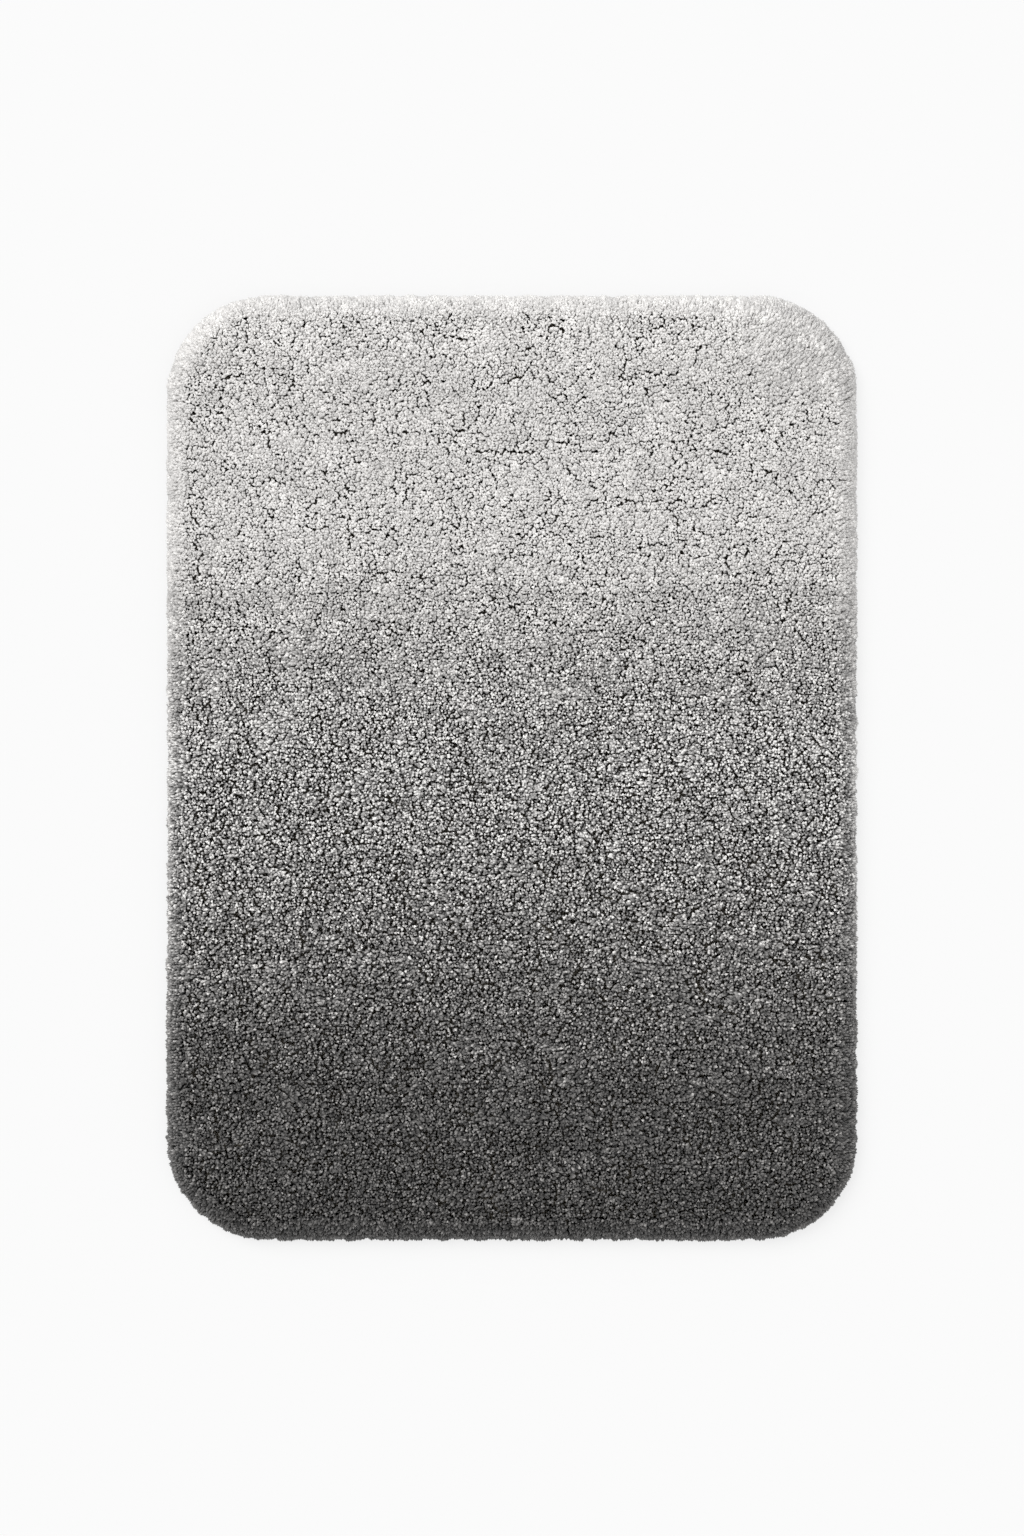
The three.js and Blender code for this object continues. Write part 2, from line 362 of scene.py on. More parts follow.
def pile_strands():
    """Every strand: the points of its middle line, its width, its paleness row, and at each point the height
    share that its painted shade goes by.

    Each root is found from its tip, so the top of the pile stays closed.
    """
    rng = np.random.default_rng(STRANDS_SEED)
    x, y, rim_lean = strand_tips(rng)
    inset, out_x, out_y = inset_from_rim(x, y)
    out = np.stack([out_x, out_y])
    count = len(x)
    loose = pale_end(y)
    _, strength = combed(x, y)

    # Locks the strands cling together in, and the way each lies.
    small, small_between = nearest_lock(x, y, SMALL_LOCK, SMALL_LOCK_SEED, SMALL_LOCK_SEARCH)
    broad, broad_between = nearest_lock(x, y, BROAD_LOCK, BROAD_LOCK_SEED, BROAD_LOCK_SEARCH)
    small_gap = np.exp(-small_between / SMALL_GAP)
    broad_gap = np.exp(-broad_between / BROAD_GAP)
    from_small = np.stack([x, y]) - small[:2]
    from_broad = np.stack([x, y]) - broad[:2]
    small_share, broad_share = small[4], broad[4]
    ripple = drift_both_ways(x, y, RIPPLE_SIZE, RIPPLE_SEEDS)
    swell = drift(x, y, SWELL_SIZE, SWELL_SEED)
    lie = small[2:4] * (1 - BROAD_SHARE * loose) + broad[2:4] * BROAD_SHARE * loose
    lie = lie + RIPPLE_REACH * ripple + by_end(loose, STRAY_LEAN) * MM * rng.standard_normal((2, count))
    lie = lie + SMALL_OPEN * from_small * (1 - LOOSE_CLOSED * loose) + BROAD_OPEN * from_broad * loose

    # Heights: each lock is a dome with a dip round it, and no two strands are cut quite alike.
    sink = by_end(loose, SMALL_DIP) * small_gap + by_end(loose, BROAD_DIP) * broad_gap
    sink += (
        (by_end(loose, SMALL_UNEVEN) + COMBED_UNEVEN * strength) * small_share
        + by_end(loose, BROAD_UNEVEN) * broad_share
        + by_end(loose, SWELL_DIP) * (1 + swell)
    )
    sink += by_end(loose, CUT_UNEVEN) * rng.uniform(0, 1, count)
    height = PILE_TOP - PILE_BOTTOM - (TOP_CLEAR + sink) * MM

    # The rim fans outwards, from roots that stay inside the seam.
    tilt = np.where(rim_lean > 0, np.radians(rim_lean), np.arcsin(np.clip(1 - inset / SHOULDER, 0, 1)))
    upright = np.clip(np.cos(tilt), 0, 1)
    root_inset = ROOTED_INSET + (SHOULDER - ROOTED_INSET) * upright ** ROOT_POWER
    fan = out * np.maximum(root_inset - inset, 0)
    lie = lie * (RIM_LIE + (1 - RIM_LIE) * upright) + fan
    root = np.stack([x, y]) - lie
    by_lock = by_end(loose, EDGE_LOCKS) * (small_share - MIDDLE_LOCK)
    edge = np.where(tilt > EDGE_LEAN, 1.0, 0.0) * (EDGE_SWELL * swell + by_lock) * MM
    x, y = x + out_x * edge, y + out_y * edge
    for _ in range(2):
        root_in, root_out_x, root_out_y = inset_from_rim(root[0], root[1])
        root = root - np.stack([root_out_x, root_out_y]) * np.maximum(ROOTED_INSET - root_in, 0)
    lie = np.stack([x, y]) - root
    droop = RIM_DROOP * np.maximum(np.sin(tilt) - DROOP_FROM, 0)
    height = np.maximum(height * np.maximum(upright, RIM_HEIGHT) - droop, LEAST_HEIGHT)

    base = np.stack([root[0], root[1], np.full(count, ROOT_LEVEL)], 1)
    lean = np.stack([lie[0], lie[1], np.zeros(count)], 1)
    up = np.stack([np.zeros(count), np.zeros(count), height + PILE_BOTTOM - ROOT_LEVEL], 1)
    bend = (LEAN_POWER - RIM_STRAIGHTER * np.sin(tilt))[:, None]
    by_length = np.array([h for h, _ in STRAND_PROFILE])
    rings = [base + h ** bend * lean + (1 - (1 - h) ** RISE_POWER) * up for h in by_length]
    points = np.stack(rings, 1)
    width = STRAND_RADIUS * rng.uniform(*STRAND_WIDTHS, count) * (1 + LOOSE_THICKER * loose)

    # Paleness: random from strand to strand and from lock to lock, more where combed.
    wander = WANDER_REACH * drift(x, y, WANDER_SIZE, WANDER_SEED)
    band = drift(BAND_STRETCH * x, y + wander, BAND_WIDTH, BAND_SEED)
    pale = by_end(loose, PALE_MIDDLE) + by_end(loose, PALE_STRANDS) * rng.standard_normal(count)
    pale += (
        (PALE_LOCKS + COMBED_PALE_LOCKS * strength) * (small_share - 0.5)
        + by_end(loose, PALE_SWELL) * swell
        + PALE_BANDS * band
    )
    # Painted shade: the rim's strands in the dark end are made darker.
    pale -= RIM_PAINTED_SHADE * (1 - loose) * np.sin(tilt) ** 2
    row = np.clip(np.round(pale * (SHADE_ROWS - 1)), 0, SHADE_ROWS - 1)
    # The height share that the yarn's painted shade goes by: lower points, towards the roots and in the dips
    # between locks, are painted darker.
    by_height = (points[:, :, 2] - PILE_BOTTOM) / (PILE_TOP - PILE_BOTTOM)
    side_on = smoothstep(SIDE_FROM, SIDE_TO, np.sin(tilt))[:, None]
    shade_height = np.clip(by_height * (1 - side_on) + by_length * side_on * SIDE_SHADE_SHARE, 0, 1)
    return {
        "y": y, "points": points, "width": width, "row": row, "share": shade_height,
        "turn": rng.uniform(0, ANY_TURN, count), "long": rng.uniform(1.0, FLATTEST_STRAND, count),
    }


# ---- Strand pieces: yarn, thread and pips are all stalks set along a middle line ----
# More corners than any shape has whose faces are put in order.
MOST_CORNERS = 10000


def own_number(face):
    """A number that only this face of its shape has, from the numbers of its first three corners."""
    first, second, third = sorted(vert.index for vert in face.verts)[:3]
    return (first * MOST_CORNERS + second) * MOST_CORNERS + third


def put_in_order(bm):
    """Sorts the faces, because Blender's mesh tools may leave them in another order each run."""
    bm.verts.index_update()
    bm.faces.sort(key=own_number)


def stalk(sides, profile):
    """A closed stalk, one unit tall and one in radius, whose rings have the profile's heights and widths."""
    bm = bmesh.new()
    bmesh.ops.create_circle(bm, cap_ends=True, segments=sides, radius=1)
    face = bm.faces[:][0]
    bmesh.ops.scale(bm, vec=(profile[0][1],) * 3, verts=bm.verts)
    for (low, narrow), (high, wide) in zip(profile, profile[1:-1]):
        made = bmesh.ops.extrude_face_region(bm, geom=[face])["geom"]
        verts = [g for g in made if isinstance(g, bmesh.types.BMVert)]
        top = [g for g in made if isinstance(g, bmesh.types.BMFace)][0]
        bmesh.ops.scale(bm, vec=(wide / narrow, wide / narrow, 1), verts=verts)
        bmesh.ops.translate(bm, vec=(0, 0, high - low), verts=verts)
        if low > 0:
            bmesh.ops.delete(bm, geom=[face], context="FACES_ONLY")
        face = top
    tip = bmesh.ops.poke(bm, faces=[face])["verts"]
    bmesh.ops.translate(bm, vec=(0, 0, 1 - profile[-2][0]), verts=tip)
    bmesh.ops.triangulate(bm, faces=bm.faces)
    bmesh.ops.recalc_face_normals(bm, faces=bm.faces)
    put_in_order(bm)
    return bm


def repeated(bm, count):
    """The shape in bm copied until it is there count times, in order."""
    vert_count, face_count = len(bm.verts), len(bm.faces)
    have = 1
    while have < count:
        more = min(have, count - have)
        bm.verts.ensure_lookup_table()
        bm.faces.ensure_lookup_table()
        bmesh.ops.duplicate(bm, geom=bm.verts[: more * vert_count] + bm.faces[: more * face_count])
        have += more
    return bm


def placed(shape, profile, strands, lump, seed):
    """Vertices of every strand: the shape's rings set along its middle line, square to its run."""
    points, width = strands["points"], strands["width"]
    count = len(width)
    rng = np.random.default_rng(seed)
    run = np.diff(points, axis=1)
    run /= np.linalg.norm(run, axis=2, keepdims=True)
    run = np.concatenate([run[:, :1], run], 1)
    run[:, 1:-1] = run[:, 1:-1] + run[:, 2:]
    run /= np.linalg.norm(run, axis=2, keepdims=True)
    side = np.stack([np.cos(strands["turn"]), np.sin(strands["turn"]), np.zeros(count)], 1)[:, None]
    side = side - run * (side * run).sum(2, keepdims=True)
    side /= np.linalg.norm(side, axis=2, keepdims=True)
    across = np.cross(run, side)
    level = np.array([h for h, _ in profile])
    ring = np.abs(shape[:, 2:3] - level).argmin(1)
    lumps = 1 + lump * rng.uniform(-1, 1, (count, len(shape)))
    wide, narrow = width * strands["long"] ** 0.5, width / strands["long"] ** 0.5
    return (
        points[:, ring]
        + side[:, ring] * (shape[:, 0] * wide[:, None] * lumps)[..., None]
        + across[:, ring] * (shape[:, 1] * narrow[:, None] * lumps)[..., None]
    )


def object_from(name, bm):
    mesh = bpy.data.meshes.new(name)
    bm.to_mesh(mesh)
    bm.free()
    piece = bpy.data.objects.new(name, mesh)
    bpy.context.scene.collection.objects.link(piece)
    return piece


def corner_turns(bm):
    """For each corner of the shape, its share of a turn round the middle line; the seam face runs past 1."""
    turns = []
    for face in bm.faces:
        found = [math.atan2(v.co.y, v.co.x) / FULL_TURN % 1 for v in face.verts]
        on_rim = [v.co.xy.length > NOTHING for v in face.verts]
        rim = [t for t, keep in zip(found, on_rim) if keep]
        if max(rim) - min(rim) > 0.5:
            found = [t + (t < 0.5) for t in found]
            rim = [t + (t < 0.5) for t in rim]
        turns += [t if keep else sum(rim) / len(rim) for t, keep in zip(found, on_rim)]
    return np.array(turns)


def strand_piece(name, node, sides, profile, strands, turn_span, material, lump=0, seed=0):
    """Strands as one piece. Its map holds the place along it (u), and the strand's row and own share (v)."""
    bm = stalk(sides, profile)
    shape = np.array([v.co for v in bm.verts])
    turns = corner_turns(bm)
    count = len(strands["width"])
    piece = object_from(name, repeated(bm, count))
    mesh = piece.data
    mesh.vertices.foreach_set("co", placed(shape, profile, strands, lump, seed).astype(np.float32).ravel())
    corner = np.empty(len(mesh.loops), np.int32)
    mesh.loops.foreach_get("vertex_index", corner)
    which, part = corner // len(shape), corner % len(shape)
    level = np.abs(shape[:, 2:3] - np.array([h for h, _ in profile])).argmin(1)
    along = np.broadcast_to(strands["along"], strands["share"].shape)[which, level[part]]
    u = MAP_MARGIN + (MAP_LENGTH - TURN_ROOM * turn_span) * along + turn_span * np.tile(turns, count)
    v = (strands["row"][which] + ROW_MARGIN + ROW_USED * strands["share"][which, level[part]]) / SHADE_ROWS
    layer = mesh.uv_layers.new(name="OFBake")
    layer.uv.foreach_set("vector", np.stack([u, v], 1).astype(np.float32).ravel())
    mesh.update()
    mesh.shade_smooth()
    return finished(piece, node, material)


def finished(piece, node, material):
    piece.data.materials.append(material)
    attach(piece, "root")
    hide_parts(node)
    return piece


# ---- The anti-slip coat, the cloth and its seam ----
LAYER_CORNER_STEPS = 24
EDGE_SEGMENTS = 2
# Edges that turn by more than this, in radians, are rounded.
SHARP = 1
CLOTH_ROUNDING = 0.2 * MM
SKIN_BOTTOM = 0.5 * MM
SKIN_ROUNDING = 0.25 * MM
WINDOW_MARGIN = 3 * MM
WINDOW_TOLERANCE = 1 * MM

PIP_PITCH = 9.2 * MM
PIP_JITTER = 0.03
PIP_SEED = 41
PIP_RADIUS = 2.1 * MM
PIP_HEIGHT = 0.75 * MM
PIP_SIDES = 8
PIP_PROFILE = ((0.0, 1.0), (0.6, 0.82), (1.0, 0.0))
# Pips keep clear of the label's window and of the rim by these shares of their radius.
PIP_WINDOW_CLEAR, PIP_RIM_CLEAR = 1.4, 1.6
SMALLEST_PIP, PIP_GROWTH = 0.94, 0.12

SEAM_SEED = 51
SEAM_WIDTH = 5.7 * MM
WRAP_PITCH = 2.3 * MM
WRAP_SIDES = 5
WRAP_PROFILE = (
    (0.0, 0.7), (0.18, 1.0), (0.36, 1.0), (0.45, 1.0), (0.55, 1.0), (0.64, 1.0), (0.82, 1.0), (1.0, 0.0),
)
# Shares of a wrap's length: each leg's, and the bend's between them.
LEG_SHARE, BEND_SHARE = 0.36, 0.28
# Half a wrap's thickness, its width for that, and in millimetres how uneven its legs and its spacing are.
WRAP_THICKNESS = 0.4 * MM
WRAP_FLATNESS = 2.6
WRAP_SHORTER, WRAP_ASTRAY = 0.5, 0.12
WRAP_WIDTHS = 0.94, 1.04
WRAP_LUMPS = 0.06
THREAD_TURN_SPAN = 0.25


def flat_layer(name, node, bottom, rounding, windows=()):
    """A sheet of one of the mat's lower layers, cut to its outline, with its edges softly rounded."""
    _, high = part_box(node)
    radius = CORNER_RADIUS - (HALF_WIDTH - high.x)
    bm = bmesh.new()
    bmesh.ops.create_grid(bm, x_segments=1, y_segments=1, size=1)
    bmesh.ops.scale(bm, vec=(high.x, high.y, 1), verts=bm.verts)
    bmesh.ops.bevel(
        bm, geom=bm.verts[:], affect="VERTICES", offset=radius, segments=LAYER_CORNER_STEPS, profile=0.5,
        material=-1,
    )
    for corner, far in windows:
        for axis in (0, 1):
            for edge in (corner, far):
                line = Vector((edge.x, 0, 0)) if axis == 0 else Vector((0, edge.y, 0))
                whole = bm.verts[:] + bm.edges[:] + bm.faces[:]
                bmesh.ops.bisect_plane(bm, geom=whole, plane_co=line, plane_no=line.normalized())
        middle = (corner + far) / 2
        cut = [face for face in bm.faces if (face.calc_center_median() - middle).xy.length < WINDOW_TOLERANCE]
        bmesh.ops.delete(bm, geom=cut, context="FACES")
    made = bmesh.ops.extrude_face_region(bm, geom=bm.faces[:])["geom"]
    raised = [g for g in made if isinstance(g, bmesh.types.BMVert)]
    bmesh.ops.translate(bm, vec=(0, 0, high.z - bottom), verts=raised)
    bmesh.ops.translate(bm, vec=(0, 0, bottom), verts=bm.verts)
    bmesh.ops.recalc_face_normals(bm, faces=bm.faces)
    sharp = [edge for edge in bm.edges if edge.calc_face_angle(0) > SHARP]
    bmesh.ops.bevel(
        bm, geom=sharp, affect="EDGES", offset=rounding, segments=EDGE_SEGMENTS, profile=0.5, material=-1,
    )
    return object_from(name, bm)


def rubber_pips(window):
    """Soft round pips in staggered rows over the underside, clear of the rim and of the label's window."""
    x, y, share = (a.ravel() for a in scattered(PIP_PITCH, PIP_SEED, PIP_JITTER))
    inset, _, _ = inset_from_rim(x, y)
    corner, far = window
    clear = PIP_WINDOW_CLEAR * PIP_RADIUS
    beside = (x < corner.x - clear) | (x > far.x + clear) | (y < corner.y - clear) | (y > far.y + clear)
    coat_inset = HALF_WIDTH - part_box("anti_slip_backing")[1].x
    kept = beside & (inset > coat_inset + PIP_RIM_CLEAR * PIP_RADIUS)
    x, y, share = x[kept], y[kept], share[kept]
    count = len(x)
    level = np.array([h for h, _ in PIP_PROFILE])
    points = np.empty((count, len(level), 3))
    points[:, :, 0], points[:, :, 1] = x[:, None], y[:, None]
    points[:, :, 2] = PIP_HEIGHT * (1 - level)
    return {
        "points": points, "width": PIP_RADIUS * (SMALLEST_PIP + PIP_GROWTH * share),
        "row": np.floor(share * SHADE_ROWS), "share": np.tile(level, (count, 1)),
        "along": np.tile(level, (count, 1)), "turn": share * ANY_TURN, "long": np.ones(count),
    }


def seam_wraps():
    """The overlock thread: each wrap comes over the top, rounds the cloth's edge and goes back beneath."""
    low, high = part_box("overlock_edge")
    x, y = outline_points(WRAP_PITCH, HALF_WIDTH - high.x)
    _, out_x, out_y = inset_from_rim(x, y)
    count = len(x)
    rng = np.random.default_rng(SEAM_SEED)
    bend = (high.z - low.z) / 2 - WRAP_THICKNESS
    leg = SEAM_WIDTH - bend - WRAP_THICKNESS - rng.uniform(0, WRAP_SHORTER, count)[:, None] * MM
    share = np.array([h for h, _ in WRAP_PROFILE])
    angle = math.pi * np.clip((share - LEG_SHARE) / BEND_SHARE, 0, 1)
    reach = np.clip(np.minimum(share, 1 - share) / LEG_SHARE, 0, 1) - 1
    out = SEAM_WIDTH - bend - WRAP_THICKNESS + leg * reach + bend * np.sin(angle) - SEAM_WIDTH
    along = WRAP_PITCH * (share - 0.5) + rng.normal(0, WRAP_ASTRAY, count)[:, None] * MM
    points = np.empty((count, len(share), 3))
    points[:, :, 0] = x[:, None] + out_x[:, None] * out - out_y[:, None] * along
    points[:, :, 1] = y[:, None] + out_y[:, None] * out + out_x[:, None] * along
    points[:, :, 2] = (low.z + high.z) / 2 + bend * np.cos(angle)
    return {
        "points": points, "width": WRAP_THICKNESS * WRAP_FLATNESS ** 0.5 * rng.uniform(*WRAP_WIDTHS, count),
        "row": rng.integers(0, SHADE_ROWS, count).astype(float), "share": np.tile(share, (count, 1)),
        "along": np.tile(share, (count, 1)), "turn": np.arctan2(out_x, -out_y),
        "long": np.full(count, WRAP_FLATNESS),
    }


# ---- The care label and its stitches ----
TAPE_COLUMNS, TAPE_ROWS = 36, 20
TAPE_THICKNESS = 0.26 * MM
TAPE_ROUNDING = 0.08 * MM
# The tape's wave in millimetres, and the radians it runs from the middle to an end and to the free edge.
TAPE_WAVE, WAVE_SIDEWAYS, WAVE_INWARDS = 0.1, 5.2, 2.0
# The curl of its free corners and of its free edge, in millimetres.
CORNER_CURL, EDGE_CURL = 0.22, 0.1

STITCH_PITCH = 3.1 * MM
STITCH_GAP = 0.5 * MM
STITCH_LEVEL = 0.5 * MM
STITCH_BITE = 0.15 * MM
# The higher this power, the longer a stitch lies flat before it dips into the label.
STITCH_FLATNESS = 5
STITCH_RINGS = 14
STITCH_SEED = 61
PLY_RADIUS = 0.13 * MM
PLY_SIDES = 6
PLY_LUMPS = 0.05
# How far a ply runs from the thread's middle, for its radius, and its turns in one stitch.
PLY_OFFSET, PLY_TURNS = 0.9, 2.5
PLY_PROFILE = (*((ring / STITCH_RINGS, 1.0) for ring in range(STITCH_RINGS)), (1.0, 0.0))


def label_tape():
    """The label: a strip of satin tape, sewn along its inner edge, that waves and curls at the outer one."""
    low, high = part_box("care_label")
    middle = (low + high) / 2
    bm = bmesh.new()
    bmesh.ops.create_grid(bm, x_segments=TAPE_COLUMNS, y_segments=TAPE_ROWS, size=1)
    bmesh.ops.scale(bm, vec=(high.x - middle.x, high.y - middle.y, 1), verts=bm.verts)
    bmesh.ops.translate(bm, vec=middle, verts=bm.verts)
    for vert in bm.verts:
        free = (high.y - vert.co.y) / (high.y - low.y)
        side = (vert.co.x - middle.x) / (high.x - middle.x)
        wave = TAPE_WAVE * math.sin(WAVE_SIDEWAYS * side + WAVE_INWARDS * free) * free
        curl = CORNER_CURL * free ** 3 * side ** 4 + EDGE_CURL * free ** 6
        vert.co.z += (wave - curl) * MM
    bmesh.ops.translate(bm, vec=(0, 0, TAPE_THICKNESS / 2), verts=bm.verts)
    bmesh.ops.solidify(bm, geom=bm.faces[:], thickness=TAPE_THICKNESS)
    bmesh.ops.recalc_face_normals(bm, faces=bm.faces)
    rim = [edge for edge in bm.edges if edge.calc_face_angle(0) > SHARP]
    bmesh.ops.bevel(
        bm, geom=rim, affect="EDGES", offset=TAPE_ROUNDING, segments=EDGE_SEGMENTS, profile=0.5, material=-1,
    )
    put_in_order(bm)
    tape = object_from("care_label_tape", bm)
    tape.data.shade_smooth()
    return tape


def label_stitches():
    """A row of lockstitches in two-ply thread, each pulled into the label at both ends."""
    low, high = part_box("label_stitching")
    label_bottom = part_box("care_label")[0].z
    number = round((high.x - low.x) / STITCH_PITCH)
    start = np.repeat(low.x + (high.x - low.x) / number * np.arange(number), 2)
    ply = np.tile([0.0, math.pi], number)
    share = np.array([h for h, _ in PLY_PROFILE])
    twist = FULL_TURN * PLY_TURNS * share + ply[:, None]
    length = (high.x - low.x) / number - STITCH_GAP
    points = np.empty((len(start), len(share), 3))
    points[:, :, 0] = start[:, None] + STITCH_GAP / 2 + length * share
    points[:, :, 1] = (low.y + high.y) / 2 + PLY_OFFSET * PLY_RADIUS * np.cos(twist)
    dip = np.abs(2 * share - 1) ** STITCH_FLATNESS * (label_bottom + STITCH_BITE - STITCH_LEVEL)
    points[:, :, 2] = STITCH_LEVEL + dip + PLY_OFFSET * PLY_RADIUS * np.sin(twist)
    rows = np.random.default_rng(STITCH_SEED).integers(0, SHADE_ROWS, number).astype(float)
    return {
        "points": points, "width": np.full(len(start), PLY_RADIUS), "row": np.repeat(rows, 2),
        "share": np.tile(share, (len(start), 1)), "along": np.tile(share, (len(start), 1)),
        "turn": np.full(len(start), math.pi / 2), "long": np.ones(len(start)),
    }


# ---- Materials ----
# Where a Mix node keeps its share, its two colours and its result.
MIX_SHARE, MIX_FIRST, MIX_SECOND, MIX_RESULT = 0, 6, 7, 2
COMMON_DETAIL = 3


def maths(operation, swapped=False):
    """A method that adds one Math node, with its inputs the other way round if swapped."""

    def method(value, *others):
        inputs = (*others, value) if swapped else (value, *others)
        return value.tree.add("ShaderNodeMath", {"operation": operation}, *inputs)

    return method


class Value:
    """A socket that Python's operators work on, each adding one Math node."""

    def __init__(self, tree, socket):
        self.tree, self.socket = tree, socket

    def output(self, key):
        return Value(self.tree, self.socket.node.outputs[key])

    __add__, __radd__ = maths("ADD"), maths("ADD", swapped=True)
    __sub__, __rsub__ = maths("SUBTRACT"), maths("SUBTRACT", swapped=True)
    __mul__, __rmul__ = maths("MULTIPLY"), maths("MULTIPLY", swapped=True)
    __truediv__ = maths("DIVIDE")
    __pow__ = maths("POWER")
    __abs__ = maths("ABSOLUTE")
    floor = maths("FLOOR")
    fraction = maths("FRACT")
    sine = maths("SINE")


class Tree:
    """A material's nodes."""

    def __init__(self, name):
        self.material = bpy.data.materials.new(name)
        self.material.use_nodes = True
        self.nodes = self.material.node_tree.nodes
        self.links = self.material.node_tree.links
        self.shader = self.nodes["Principled BSDF"]

    def add(self, kind, settings, *inputs, output=0, sockets=None):
        node = self.nodes.new(kind)
        for key, value in settings.items():
            if key == "stops":
                ramp = node.color_ramp
                while len(ramp.elements) < len(value):
                    ramp.elements.new(1)
                for element, (position, colour) in zip(ramp.elements, value):
                    element.position, element.color = position, (*colour, 1)
            else:
                setattr(node, key, value)
        for key, value in [*enumerate(inputs), *(sockets or {}).items()]:
            self.feed(node.inputs[key], value)
        return Value(self, node.outputs[output])

    def blend(self, share, first, second):
        """The first colour, changing to the second as share goes from 0 to 1."""
        sockets = {MIX_SHARE: share, MIX_FIRST: (*first, 1), MIX_SECOND: (*second, 1)}
        return self.add("ShaderNodeMix", {"data_type": "RGBA"}, output=MIX_RESULT, sockets=sockets)

    def eased_range(self, value, low, high, start=0.0, end=1.0):
        """The start below low, the end above high, and smooth between."""
        smooth = {"interpolation_type": "SMOOTHSTEP"}
        return self.add("ShaderNodeMapRange", smooth, value, low, high, start, end)

    def noise(self, at, size, detail=COMMON_DETAIL):
        """A smooth random value about 0.5 that changes over about size metres."""
        return self.add("ShaderNodeTexNoise", {}, at, sockets={"Scale": 1 / size, "Detail": detail})

    def bump(self, height, depth):
        sockets = {"Strength": 1.0, "Distance": depth, "Height": height}
        return self.add("ShaderNodeBump", {}, sockets=sockets)

    def object_place(self):
        return self.add("ShaderNodeTexCoord", {}, output="Object")

    def feed(self, socket, value):
        if isinstance(value, Value):
            self.links.new(value.socket, socket)
        else:
            socket.default_value = value

    def finish(self, **sockets):
        for key, value in sockets.items():
            self.feed(self.shader.inputs[key.replace("_", " ")], value)
        return self.material


def ridged(fraction):
    """A round ridge from a value that runs from 0 to 1 across it."""
    return 1 - (fraction * 2 - 1) ** 2


def strand_map(tree):
    """A strand piece's map: the place along it, the strand's row from 0 to 1, and the strand's own share."""
    at = tree.add("ShaderNodeUVMap", {"uv_map": "OFBake"})
    along = tree.add("ShaderNodeSeparateXYZ", {}, at)
    rows = along.output(1) * SHADE_ROWS
    return along, rows.floor() / (SHADE_ROWS - 1), (rows.fraction() - ROW_MARGIN) / ROW_USED


def tinted(tree, colour, share):
    """A colour made paler or darker by a share."""
    tint = tree.add("ShaderNodeCombineXYZ", {}, share, share, share)
    return tree.add("ShaderNodeVectorMath", {"operation": "MULTIPLY"}, colour, tint)


# Yarn shade from 0 to 255, pale end to dark end, at the joins between the strips.
YARN_GREYS = (232, 220, 221, 220, 206, 213, 236, 219, 189, 157, 124, 114, 95)
WHITEST_YARN = (0.86, 0.85, 0.83)
# How warm a black yarn is, and how much less warm a white one.
WARMTH, WHITE_COOLER = 0.043, 0.026
# The yarns grow more mottled over this part of the mat's length.
EVEN_UNTIL, MOTTLED_FROM = 0.22, 0.52
# Tones of the darkest row and the palest row, and of the painted shade at the root, in even yarn, and how
# much further they go in mottled.
DARKEST_ROW, MOTTLED_DARKER = 0.74, 0.3
PALEST_ROW, MOTTLED_PALER = 1.22, 1.5
ROOT_PAINTED_SHADE, MOTTLED_SHADE_DEEPER = 0.9, 0.75
# The heights between which a yarn's painted shade fades from full to none.
SHADE_FULL_BELOW, SHADE_NONE_ABOVE = 0.62, 0.95
ROUGHEST_YARN, PALE_SMOOTHER = 0.82, 0.14
# Fibres round a yarn, how far they wind as it rises, and how far they stand out.
PILE_FIBRES = 9
FIBRE_WIND = 1.5
FIBRE_DEPTH = 0.12 * MM
YARN_GLOSS = 0.3
YARN_SHEEN = 0.25
SHEEN_ROUGHNESS = 0.5


def linear(grey):
    """A grey from 0 to 255, as the eye sees it, as a plain amount of light."""
    g = grey / 255
    return g / 12.92 if g <= 0.04045 else ((g + 0.055) / 1.055) ** 2.4


def yarn_colour(grey):
    g = linear(grey)
    warmth = WARMTH - WHITE_COOLER * grey / 255
    return (g * (1 + warmth), g, g * (1 - warmth))


def pile_yarn(index):
    """Soft yarn: shaded along the strip, paler or darker from yarn to yarn, with painted shade that darkens
    it lower in the pile, towards its root and in the dips between locks.
    """
    tree = Tree(f"pile_yarn_{index + 1:02d}")
    along, row, height = strand_map(tree)
    ends = [(0.0, yarn_colour(YARN_GREYS[index + 1])), (1.0, yarn_colour(YARN_GREYS[index]))]
    colour = tree.add("ShaderNodeValToRGB", {"stops": ends}, along)
    dark_side = smoothstep(EVEN_UNTIL, MOTTLED_FROM, (index + 1) / SHADE_COUNT)
    pale_side = smoothstep(EVEN_UNTIL, MOTTLED_FROM, index / SHADE_COUNT)
    mottled = along * (pale_side - dark_side) + dark_side
    darkest, palest = DARKEST_ROW - MOTTLED_DARKER * mottled, PALEST_ROW + MOTTLED_PALER * mottled
    paleness = darkest * (palest / darkest) ** row
    # Painted shade: darker lower in the pile, towards the root and in the dips between locks.
    depth = tree.eased_range(height, SHADE_FULL_BELOW, SHADE_NONE_ABOVE, ROOT_PAINTED_SHADE - MOTTLED_SHADE_DEEPER * mottled, 1.0)
    fibre = (along * (PILE_FIBRES / TURN_SPAN) + height * FIBRE_WIND).fraction()
    shaded = tinted(tree, colour, paleness * depth)
    return tree.finish(
        Base_Color=tree.add("ShaderNodeVectorMath", {"operation": "MINIMUM"}, shaded, WHITEST_YARN),
        Roughness=ROUGHEST_YARN - PALE_SMOOTHER * row,
        Normal=tree.bump(ridged(fibre), FIBRE_DEPTH),
        Specular_IOR_Level=YARN_GLOSS,
        Sheen_Weight=YARN_SHEEN,
        Sheen_Roughness=SHEEN_ROUGHNESS,
    )


